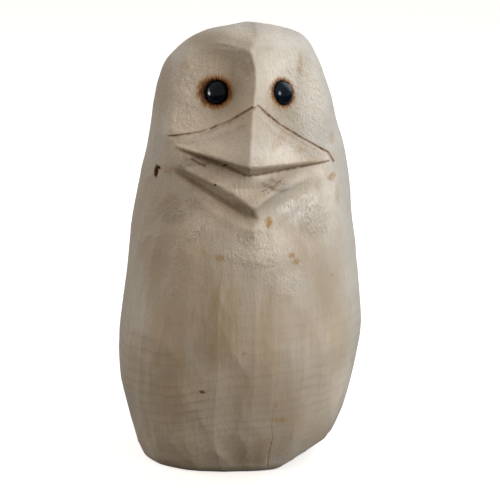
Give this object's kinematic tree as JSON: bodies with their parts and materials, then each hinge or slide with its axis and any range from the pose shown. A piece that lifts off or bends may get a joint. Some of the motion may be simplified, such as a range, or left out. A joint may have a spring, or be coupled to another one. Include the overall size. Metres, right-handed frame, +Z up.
{
  "type": "carved wooden bird ornament",
  "caption": "Standing round-bodied wooden chick with a knife-carved face, a wide wedge beak and domed bead eyes, resting on its flat underside.",
  "frame": {"origin": "on the flat underside, below the trunk's axis, where the bird stands", "axes": "+Z up, -Y the way the bird looks, +X to the right of someone facing it"},
  "size_m": [0.0818, 0.0754, 0.145],
  "materials": {
    "wood": "bare, knife-cut and sanded, satin",
    "bead": "gloss"
  },
  "bodies": {
    "root": {"body": "wood", "eye_left": "bead", "eye_right": "bead"}
  },
  "joints": []
}
